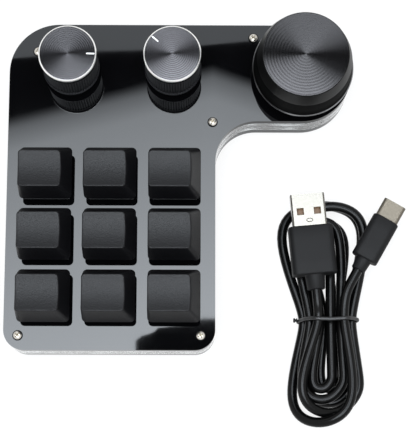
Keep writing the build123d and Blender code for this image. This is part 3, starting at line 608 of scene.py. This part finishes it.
knob_anodised, knob_shader = start_finish(
    "dark_anodised_aluminium",
    {"Base Color": linear("#1e1e20"), "Roughness": 0.4, "IOR": 1.5, "Specular IOR Level": 0.05},
)
knob_noise = grain(knob_anodised, knob_shader, 0.3, 0.004, 0.5)
vary(knob_anodised, knob_noise, 0.35, 0.45, knob_shader, "Roughness")
spun_face, spun_shader = start_finish(
    "spun_dark_aluminium",
    {"Base Color": linear("#575658"), "Metallic": 1.0, "Roughness": 0.105, "Anisotropic": 0.84},
)
brush_round(spun_face, spun_shader)
cut_ring, ring_shader = start_finish(
    "diamond_cut_aluminium", {"Base Color": linear("#fafaf8"), "Metallic": 1.0, "Roughness": 0.3}
)
grain(cut_ring, ring_shader, 0.2, 0.002, 0.4)
pointer_white, pointer_shader = start_finish(
    "white_pointer_paint", {"Base Color": linear("#f6f6f4"), "Roughness": 0.5}
)
grain(pointer_white, pointer_shader, 0.15, 0.004)


def groove_rows(outer, inner, height, pitch, depth, per_groove):
    """Rows of a turned face from its rim to near its middle: z = height - depth (1 - cos) / 2, once
    every pitch."""
    count = int(round((outer - inner) / pitch)) * per_groove
    radius = np.linspace(outer, inner, count + 1)
    wave = (1 - np.cos(2 * np.pi * (outer - radius) / pitch)) / 2
    return np.column_stack([radius, height - depth * wave])


def join_stretches(stretches):
    """Join stretches of (rows, finish) to one profile, and give the finish of every band. The fan that
    closes the face has the face's finish."""
    profile = np.concatenate([rows for rows, finish in stretches])
    bands = [finish for rows, finish in stretches for _ in rows]
    return profile, np.array(bands + bands[-1:])


def small_knob(x, y):
    """A knob turned about its axis. In the knurled band the radius falls along a zigzag of teeth:
    r = knurl radius - depth |2 frac(teeth turn) - 1|. Returns the grid and the finish of every band."""
    columns, teeth = 480, 60
    foot, bore_top, knurl_radius, knurl_depth = 23.2, 37.5, 9.65, 0.45
    lower = [(2.4, bore_top), (3.03, bore_top), (3.03, 25.3), (7.6, 25.3), (7.6, foot), (9.8, foot)]
    lower += [(9.95, foot + 0.15), (9.95, foot + 0.65), (9.85, foot + 0.8), (knurl_radius, foot + 0.85)]
    knurl = [(knurl_radius, z) for z in (foot + 1, foot + 4, foot + 8, foot + 12, 37.3)]
    # The band under the rim, finish 3, is painted shade: plain black where the rim overhangs the knurl.
    upper = [(9.6, 37.35), (9.5, 37.45), (9.5, 39.9), (9.55, 40.05), (9.8, 40.05), (9.9, 40.15)]
    rim = [(9.9, 40.7), (9.86, 40.82), (9.44, 41.24)]
    grooves = groove_rows(outer=9.3, inner=0.2, height=41.28, pitch=0.7, depth=0.005, per_groove=8)
    face = np.concatenate([[(9.36, 41.27)], grooves])
    profile, bands = join_stretches([(lower, 0), (knurl, 0), (upper, 3), (rim, 2), (face, 1)])
    grid = lathe(profile, columns)
    share = np.arange(columns) / columns * teeth
    tooth = knurl_depth * np.abs(2 * (share - np.floor(share)) - 1)
    cut = np.zeros(len(profile))
    cut[len(lower) : len(lower) + len(knurl)] = 1
    inward = 1 - cut[:, None] * tooth / profile[:, :1]
    grid[:, :, :2] *= inward[:, :, None]
    return grid + (x, y, 0), bands


def pointer(x, y, degrees):
    """A painted line with round ends, 2.9 by 0.5, from the rim towards the middle, standing 0.03 proud."""
    outline = rounded_rectangle(2.9, 0.5, 0.24, 4, 3) + (7.8, 0)
    levels = ((0.6, 41.2), (1.0, 41.22), (1.0, 41.3), (0.9, 41.32))
    rows = [np.column_stack([outline * (1, narrow), np.full(len(outline), z)]) for narrow, z in levels]
    turn = math.radians(degrees)
    spin = np.array([[math.cos(turn), math.sin(turn), 0], [-math.sin(turn), math.cos(turn), 0], [0, 0, 1]])
    return np.stack(rows) @ spin + (x, y, 0)


knob_y = back_edge - 17.0
left_reach, middle_reach = 22.1, 57.7
for side, reach, points_to in (("left", left_reach, -1.0), ("middle", middle_reach, 139.0)):
    knob_x = left_edge + reach
    grid, bands = small_knob(knob_x, knob_y)
    handle = build_piece(
        f"{side}_handle",
        f"{side}_dial",
        [knob_anodised, spun_face, cut_ring, painted_shade_black],
        [(grid, bands)],
    )
    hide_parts(f"{side}_knob")
    build_piece(
        f"{side}_pointer",
        f"{side}_dial",
        [pointer_white],
        [(pointer(knob_x, knob_y, points_to), 0)],
    )

# Large dial: aluminium, turned to two cones and black anodised; its face keeps coarse turning rings about
# a millimetre apart. A fine edge at the foot is polished lighter by wear.
dial_anodised, dial_shader = start_finish(
    "black_anodised_aluminium",
    {"Base Color": linear("#080808"), "Roughness": 0.5, "IOR": 1.5, "Specular IOR Level": 0.006},
)
dial_noise = grain(dial_anodised, dial_shader, 0.3, 0.004, 0.5)
vary(dial_anodised, dial_noise, 0.45, 0.55, dial_shader, "Roughness")
dial_satin, satin_shader = start_finish(
    "satin_black_aluminium",
    {"Base Color": linear("#0b0b0b"), "Roughness": 0.38, "IOR": 1.5, "Specular IOR Level": 0.1},
)
satin_noise = grain(dial_satin, satin_shader, 0.3, 0.004, 0.5)
vary(dial_satin, satin_noise, 0.34, 0.42, satin_shader, "Roughness")
dial_face, face_shader = start_finish(
    "turned_black_face",
    {"Base Color": linear("#4b4a4b"), "Metallic": 1.0, "Roughness": 0.12, "Anisotropic": 0.98},
)
brush_round(dial_face, face_shader)
dial_edge, edge_shader = start_finish(
    "worn_edge", {"Base Color": linear("#8b8c8e"), "Metallic": 1.0, "Roughness": 0.3}
)
grain(dial_edge, edge_shader, 0.3, 0.004)
dial_top = 43.0
dial_lower = [(2.4, 37.5), (3.03, 37.5), (3.03, 29.4), (14.4, 29.4), (14.4, 26.1), (17.3, 26.1)]
dial_lower += [(17.42, 26.13)]
dial_side = [(17.6, 26.25), (17.65, 26.4), (17.6, 26.55), (17.32, 26.85)]
dial_cones = [(17.26, 26.95), (16.9, 31.4), (16.4, 36.1), (16.35, 36.5)]
dial_shoulder = [(16.25, 37.0), (15.55, 39.8), (14.85, 42.55), (14.75, 42.88), (14.65, 42.97)]
dial_shoulder += [(14.51, dial_top)]
dial_rings = groove_rows(outer=14.45, inner=0.2, height=dial_top, pitch=1.02, depth=0.005, per_groove=10)
profile, bands = join_stretches(
    [(dial_lower, 0), (dial_side, 2), (dial_cones, 0), (dial_shoulder, 3), (dial_rings, 1)]
)
dial = build_piece(
    "large_handle",
    "large_dial",
    [dial_anodised, dial_face, dial_edge, dial_satin],
    [(lathe(profile, 256, (dial_x, dial_y)), bands)],
)
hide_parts("large_knob")

# Plugs of the lead: folded steel shells, plated, in grips of moulded black vinyl with a fine matt texture.
# The flat plug has two square windows in each broad side; the small oval one is seamless.
plug_steel, plug_shader = start_finish(
    "plated_plug_steel", {"Base Color": linear("#7a7771"), "Metallic": 1.0, "Roughness": 0.22}
)
plug_noise = grain(plug_steel, plug_shader, 0.4, 0.004, 0.5)
vary(plug_steel, plug_noise, 0.18, 0.28, plug_shader, "Roughness")
dress(plug_steel, "usb_a_shell")
brushed_nickel, brushed_shader = start_finish(
    "brushed_nickel", {"Base Color": linear("#6e685e"), "Metallic": 1.0, "Roughness": 0.5}
)
brushed_noise = grain(brushed_nickel, brushed_shader, 0.4, 0.01)
vary(brushed_nickel, brushed_noise, 0.42, 0.58, brushed_shader, "Roughness")
dress(brushed_nickel, "usb_c_shell")
tongue_plastic, tongue_shader = start_finish(
    "moulded_tongue", {"Base Color": linear("#6a4b2a"), "Roughness": 0.45}
)
grain(tongue_plastic, tongue_shader, 0.3, 0.008)
dress(tongue_plastic, "usb_a_tongue")
grip_vinyl, grip_shader = start_finish(
    "moulded_vinyl_grip",
    {"Base Color": linear("#0d0d0e"), "Roughness": 0.6, "IOR": 1.5, "Specular IOR Level": 0.2},
)
grip_noise = grain(grip_vinyl, grip_shader, 0.2, 0.015, 0.6)
vary(grip_vinyl, grip_noise, 0.54, 0.66, grip_shader, "Roughness")
# The waist is where the tie holds the hank; each plug's line starts at the back of its grip
waist = np.array([left_edge + 111.6, front_edge + 11.9, 0.0])
flat_plug = waist + (-4.2, 15.1, 13.0)
oval_plug = waist + (13.1, 20.8, 12.2)
flat_turn, oval_turn = math.radians(5.2), math.radians(29.7)
flat_way = np.array([-math.sin(flat_turn), math.cos(flat_turn), 0])
oval_way = np.array([math.sin(oval_turn), math.cos(oval_turn), 0])


def lay(section_rows, origin, way):
    """Lay rows of (across, up) sections along a plug's line: origin + across * side + up * z
    + along * way."""
    side = np.cross((0, 0, 1), way)
    return np.stack(
        [
            origin + points[:, :1] * side + points[:, 1:] * (0, 0, 1) + along * way
            for along, points in section_rows
        ]
    )


def grip(width, height, length, corner, stub_length, root, tip, origin, way):
    """A grip with a stub for the cord: sections grow from a circle to a rounded block and shrink at
    the mouth."""
    turn = np.arctan2(*rounded_rectangle(width, height, corner).T[::-1])

    def block(along, inset):
        return along, rounded_rectangle(width - 2 * inset, height - 2 * inset, corner - 0.6 * inset)

    def stub(along, radius):
        return along, radius * np.column_stack([np.cos(turn), np.sin(turn)])

    rows = [stub(-stub_length, 1.8), stub(-stub_length, tip - 0.25), stub(0.25 - stub_length, tip)]
    rows += [stub(-0.5, root), stub(-0.1, root + 0.05), stub(0.0, root + 0.2)]
    rounding = [(0.0, 0.6), (0.04, 0.38), (0.16, 0.15), (0.5, 0.0)]
    rows += [block(along, inset) for along, inset in rounding]
    rows += [block(length * share, 0.0) for share in (0.3, 0.5, 0.7)]
    rows += [block(length - along, inset) for along, inset in rounding[::-1]]
    return lay(rows, origin, way)


flat_grip_grid = grip(
    width=15.6,
    height=8.0,
    length=17.2,
    corner=2.2,
    stub_length=5.2,
    root=3.5,
    tip=3.1,
    origin=flat_plug,
    way=flat_way,
)
flat_grip = build_piece(
    "flat_plug_grip", "usb_lead", [grip_vinyl], [(flat_grip_grid, 0)], sharp=60
)
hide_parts("usb_a_grip")
oval_grip_grid = grip(
    width=9.6,
    height=6.4,
    length=16.2,
    corner=2.4,
    stub_length=4.4,
    root=2.75,
    tip=2.5,
    origin=oval_plug,
    way=oval_way,
)
oval_grip = build_piece(
    "oval_plug_grip", "usb_lead", [grip_vinyl], [(oval_grip_grid, 0)], sharp=60
)
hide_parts("usb_c_grip")


def oval_ring(middle, way):
    """A low ring pressed up from the shell: a flat oval section carried round an ellipse, 2.1 by 1.2."""
    side = np.cross((0, 0, 1), way)
    turn = np.linspace(0, 2 * np.pi, 49)[:, None]
    swell = np.arange(12) / 12 * 2 * np.pi
    across = (1.05 + 0.14 * np.cos(swell)) * np.cos(turn)
    along = (0.6 + 0.14 * np.cos(swell)) * np.sin(turn)
    rise = 0.08 * np.sin(swell) + 0 * turn
    return middle + across[..., None] * side + along[..., None] * way + rise[..., None] * (0, 0, 1)


# Painted shade: the pressed ring is dull dark brown, standing for the shadow round its outline.
mark_painted_shade, mark_shader = start_finish(
    "press_mark_painted_shade", {"Base Color": linear("#4c463d"), "Roughness": 0.6}
)
grain(mark_painted_shade, mark_shader, 0.2, 0.004)
shell_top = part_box("usb_a_shell")[1][2] * 1000
mark_spot = flat_plug + 19.2 * flat_way
plug_mark = build_piece(
    "flat_plug_mark",
    "usb_lead",
    [mark_painted_shade],
    [(oval_ring(np.array([mark_spot[0], mark_spot[1], shell_top]), flat_way), 0)],
)

# Cord of the lead: round black vinyl, 3.5 mm thick, laid in a hank of loose turns beside the keypad.
# It leaves the oval plug, runs twelve times through the waist, and ends at the flat plug on top.
cord_vinyl, cord_shader = start_finish(
    "black_vinyl_cord", {"Base Color": linear("#060606"), "Roughness": 0.2, "Specular IOR Level": 0.16}
)
cord_noise = grain(cord_vinyl, cord_shader, 3.0, 0.002, 0.3)
vary(cord_vinyl, cord_noise, 0.17, 0.23, cord_shader, "Roughness")
cord_radius = 1.75
low, high, over, ground = 2.95, 6.95, 10.95, 1.8
# Where each strand crosses the waist: how far to the right, and how high
strands = [(5.9, 10.75), (-7.3, low), (6.94, low), (-3.74, low), (3.38, low), (-0.18, low)]
strands += [(1.6, high), (-1.96, high), (5.16, high), (-5.52, high), (8.72, high), (-2.9, 11.0)]
# The bend after each strand: both legs, where they end, the crown, the heights round it, and its lean
bends = [
    (11.2, -12.8, -22.0, -35.7, (over, 10.9, 5.2, ground), -2.2),
    (-19.2, 15.4, 27.5, 41.8, [ground] * 4, 2.0),
    (10.5, -8.6, -17.5, -28.6, [ground] * 4, 0.0),
    (-13.0, 9.0, 26.0, 35.6, [ground] * 4, 0.0),
    (5.7, -2.6, -17.4, -23.6, [ground] * 4, 0.0),
    (-5.4, 1.7, 22.6, 28.2, (ground, 3.6, 5.8, high), 0.0),
    (1.8, -5.9, -18.6, -24.0, [high] * 4, 0.0),
    (-7.8, 5.9, 26.5, 35.0, [high] * 4, 0.0),
    (6.0, -9.9, -18.0, -27.8, [high] * 4, 0.0),
    (-13.0, 15.4, 27.0, 40.6, [high] * 4, 1.5),
    (11.2, -11.4, -19.5, -32.4, (6.6, 5.3, 8.2, over), 0.6),
]
cord_seat = 4.4
cord_from = oval_plug - cord_seat * oval_way
cord_to = flat_plug - cord_seat * flat_way
route = [cord_from, cord_from - 5.0 * oval_way, cord_from - 9.0 * oval_way - (0, 0, 0.4)]
# A crown has four points on an ellipse, moved out a little because the curve runs inside its points.
# The narrow bends also hold a point at the end of their near leg
crown_turn = np.radians([22.5, 67.5, 112.5, 157.5])
crown_ease = 0.902
narrow_bends = (4, 5, 6, 8, 10)
for number, (across, level) in enumerate(strands):
    ahead = 2.4 if number % 2 == 0 else -2.4
    route += [waist + (across, ahead, level), waist + (across, -ahead, level)]
    if number < len(bends):
        near, far, leg, crown, levels, lean = bends[number]
        if number in narrow_bends:
            route.append(waist + (near, leg, levels[0]))
        bend_x = (near + far) / 2 + (near - far) / 2 * np.cos(crown_turn) / crown_ease
        bend_x += lean * np.sin(crown_turn)
        bend_y = leg + (crown - leg) * np.sin(crown_turn) / crown_ease
        route += list(np.column_stack([bend_x, bend_y, levels]) + waist)
route += [cord_to - 5.0 * flat_way, cord_to]
line = bpy.data.curves.new("cord", "CURVE")
line.dimensions = "3D"
spline = line.splines.new("NURBS")
spline.points.add(len(route) - 1)
spline.points.foreach_set("co", np.column_stack([np.array(route) / 1000, np.ones(len(route))]).ravel())
spline.order_u = 4
spline.use_endpoint_u = True
spline.resolution_u = 8
line.bevel_depth = cord_radius / 1000
line.bevel_resolution = 6
line.use_fill_caps = True
line.materials.append(cord_vinyl)
cord = bpy.data.objects.new("cord", line)
bpy.context.scene.collection.objects.link(cord)
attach(cord, "usb_lead")
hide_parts("cable_hank")

# Tie: thin wire in a flat black vinyl jacket, drawn round the waist of the hank.
# Its ends are twisted together at the left, and the jacket has a dull sheen.
tie_vinyl, tie_shader = start_finish("tie_vinyl", {"Base Color": linear("#0c0c0d"), "Roughness": 0.42})
grain(tie_vinyl, tie_shader, 0.3, 0.01)
# The loop is the line pulled tight round the strands: the furthest strand in each direction, then
# evenly spaced
pull = np.linspace(0, 2 * np.pi, 721)
pull_way = np.column_stack([np.cos(pull), np.sin(pull)])
strand_spots = np.array(strands)
outermost = strand_spots[np.argmax(strand_spots @ pull_way.T, axis=0)] + (cord_radius + 0.75) * pull_way
span = np.concatenate([[0], np.cumsum(np.linalg.norm(np.diff(outermost, axis=0), axis=1))])
steps = 240
even = np.linspace(0, span[-1], steps + 1)[:-1]
loop = np.column_stack([np.interp(even, span, outermost[:, axis]) for axis in (0, 1)])
heading = np.roll(loop, -1, axis=0) - np.roll(loop, 1, axis=0)
heading /= np.linalg.norm(heading, axis=1)[:, None]
sway = 0.25 * np.sin(3 * np.arange(steps) / steps * 2 * np.pi)
path = np.column_stack([loop[:, 0], sway, loop[:, 1]]) + waist
normals = np.column_stack([heading[:, 1], np.zeros(steps), -heading[:, 0]])
binormals = np.tile([0.0, 1.0, 0.0], (steps, 1))
band = tube(path, normals, binormals, 1.3, 0.8)
closed_band = np.concatenate([band, band[:1]])[::-1]
# Two tails wind about each other, away from the loop to the left
twist = np.linspace(0, 1.6, 40)
still = np.zeros(len(twist))
tail_axis = waist + (loop[:, 0].min() - 0.1, 0.2, 4.0)
tails = []
for start in (0.0, np.pi):
    angle = start + twist * 2.6
    spoke = np.column_stack([still, np.cos(angle), np.sin(angle)])
    core = tail_axis + np.column_stack([-twist * 0.9, still, still]) + 0.42 * spoke
    tails.append(tube(core[::-1], spoke[::-1], np.cross(spoke[::-1], (1.0, 0, 0)), 0.8, 0.8, 14))
tie = build_piece(
    "tie", "usb_lead", [tie_vinyl], [(grid, 0) for grid in (closed_band, *tails)]
)
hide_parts("cable_tie")


# Studio: a white floor, a long soft panel overhead and in front, a smaller one behind it, and a dark strip
# between them that the polished plate mirrors. Floor and room are white to the camera and in mirrors.
def seen_rays(finish):
    """A node that is 1 for what the camera sees, straight or in a mirror or glass, and 0 for other light."""
    rays = add_node(finish, "ShaderNodeLightPath")
    mirrored = {0: (rays, "Is Glossy Ray"), 1: (rays, "Is Transmission Ray")}
    passed = add_node(finish, "ShaderNodeMath", {"operation": "MAXIMUM"}, mirrored)
    either = {0: (rays, "Is Camera Ray"), 1: (passed, "Value")}
    return add_node(finish, "ShaderNodeMath", {"operation": "MAXIMUM"}, either)


floor_white, floor_shader = start_finish("floor_white", {"Base Color": linear("#f5f5f4"), "Roughness": 0.7})
seen = seen_rays(floor_white)
share = add_node(floor_white, "ShaderNodeMath", {"operation": "MULTIPLY", 1: 0.85}, {0: (seen, "Value")})
glow = add_node(floor_white, "ShaderNodeEmission", {"Color": (1, 1, 1, 1), "Strength": 1.0})
mix = add_node(
    floor_white,
    "ShaderNodeMixShader",
    (),
    {0: (share, "Value"), 1: (floor_shader, "BSDF"), 2: (glow, "Emission")},
)
link(floor_white, mix, "Shader", floor_white.node_tree.nodes["Material Output"], "Surface")


def flat_panel(name, corners, height, finish):
    """A flat panel with the given corners at one height, in millimetres, that is part of the studio."""
    mesh = bpy.data.meshes.new(name)
    points = np.column_stack([np.array(corners, float), np.full(len(corners), height)]) / 1000
    mesh.from_pydata(points.tolist(), [], [list(range(len(corners)))])
    mesh.materials.append(finish)
    panel = bpy.data.objects.new(name, mesh)
    bpy.context.scene.collection.objects.link(panel)
    return panel


far = 3000
flat_panel("floor", [(-far, -far), (far, -far), (far, far), (-far, far)], -0.02, floor_white)


def soft_light(name, edges, falls):
    """A panel finish whose glow grows with the distance from its nearest edge. An edge is a line
    y = edge + slope x, in millimetres. Each fall is (from, to, least, most): the glow gains least to most
    between two distances, and all gains are added."""
    finish = bpy.data.materials.new(name)
    finish.use_nodes = True
    finish.node_tree.nodes.remove(finish.node_tree.nodes["Principled BSDF"])
    spot = add_node(finish, "ShaderNodeTexCoord")
    gaps = []
    for edge, slope in edges:
        towards = {"operation": "DOT_PRODUCT", 1: (1000 * slope, -1000, 0)}
        level = add_node(finish, "ShaderNodeVectorMath", towards, {0: (spot, "Object")})
        gaps.append(add_node(finish, "ShaderNodeMath", {"operation": "ADD", 1: edge}, {0: (level, "Value")}))
    away = gaps[0]
    for gap in gaps[1:]:
        away = add_node(finish, "ShaderNodeMath", {"operation": "MINIMUM"}, {0: (away, 0), 1: (gap, 0)})
    gains = []
    for start, stop, least, most in falls:
        ends = {"From Min": start, "From Max": stop, "To Min": least, "To Max": most}
        gains.append(add_node(finish, "ShaderNodeMapRange", ends, {"Value": (away, 0)}))
    glow = gains[0]
    for gain in gains[1:]:
        glow = add_node(finish, "ShaderNodeMath", {"operation": "ADD"}, {0: (glow, 0), 1: (gain, 0)})
    light = add_node(finish, "ShaderNodeEmission", {"Color": linear("#f1f8ff")}, {"Strength": (glow, 0)})
    link(finish, light, "Emission", finish.node_tree.nodes["Material Output"], "Surface")
    return finish


panel_height = 819.0
front_panel = flat_panel(
    "front_panel",
    [(-330, -420), (330, -420), (330, 165), (18.8, 276), (-330, 183)],
    panel_height,
    soft_light(
        "front_panel_light",
        [(270.9, 0.267), (282.6, -0.357)],
        [(2, 14, 0.0, 2.0), (6, 34, 0.0, 3.9), (34, 245, 0.0, 4.7)],
    ),
)
back_panel = flat_panel(
    "back_panel",
    [(-330, 270), (-161, 279), (-82, 286), (-46, 287), (12, 292), (52, 296), (330, 312)]
    + [(330, 520), (-330, 520)],
    panel_height,
    soft_light("back_panel_light", [(290, 0)], [(-230, 0, 2.4, 2.0)]),
)
card_black = start_finish("black_card", {"Base Color": linear("#050505"), "Roughness": 0.9})[0]
dark_strip = flat_panel(
    "dark_strip", [(-700, 140), (700, 140), (700, 360), (-700, 360)], panel_height + 4, card_black
)
# The flag is the dark shape that the plate mirrors at its front right corner
dark_flag = flat_panel(
    "dark_flag",
    [(-47, -120), (130, -120), (130, 47), (10, 47), (-9, 41), (-28, 39), (-31, 36), (-35, 34)]
    + [(-42, 32), (-47, 28)],
    panel_height - 4,
    card_black,
)
for panel in (front_panel, back_panel, dark_strip, dark_flag):
    panel.visible_camera = False

world = bpy.data.worlds.new("room")
world.use_nodes = True
world.node_tree.nodes["Background"].inputs["Color"].default_value = (1, 1, 1, 1)
shown = seen_rays(world)
room = add_node(world, "ShaderNodeMapRange", {"To Min": 0.35, "To Max": 1.0}, {"Value": (shown, "Value")})
link(world, room, "Result", world.node_tree.nodes["Background"], "Strength")
bpy.context.scene.world = world
bpy.context.scene.view_settings.view_transform = "Standard"

# Camera: it stands where the photograph was taken, tilted, turned and rolled a little from straight down.
# Its lens follows from the photograph's focal length in pixels and its longer side.
tilt, yaw, roll = np.radians([10.53, 2.01, 2.14])
ahead = np.array([np.sin(yaw) * np.sin(tilt), np.cos(yaw) * np.sin(tilt), -np.cos(tilt)])
level_right = np.array([np.cos(yaw), -np.sin(yaw), 0])
level_up = np.cross(level_right, ahead)
right = np.cos(roll) * level_right + np.sin(roll) * level_up
up = -np.sin(roll) * level_right + np.cos(roll) * level_up
camera_data = bpy.data.cameras.new("photo_camera")
focal_pixels, longer_side = 1551.8, 432
camera_data.sensor_width = 36.0
camera_data.lens = focal_pixels * camera_data.sensor_width / longer_side
camera_data.clip_start = 0.01
camera = bpy.data.objects.new("photo_camera", camera_data)
bpy.context.scene.collection.objects.link(camera)
pose = np.eye(4)
stand = np.array([6.445, -109.575, 548.64]) / 1000
pose[:3] = np.column_stack([right, up, -ahead, stand])
camera.matrix_world = pose.T.tolist()
bpy.context.scene.camera = camera
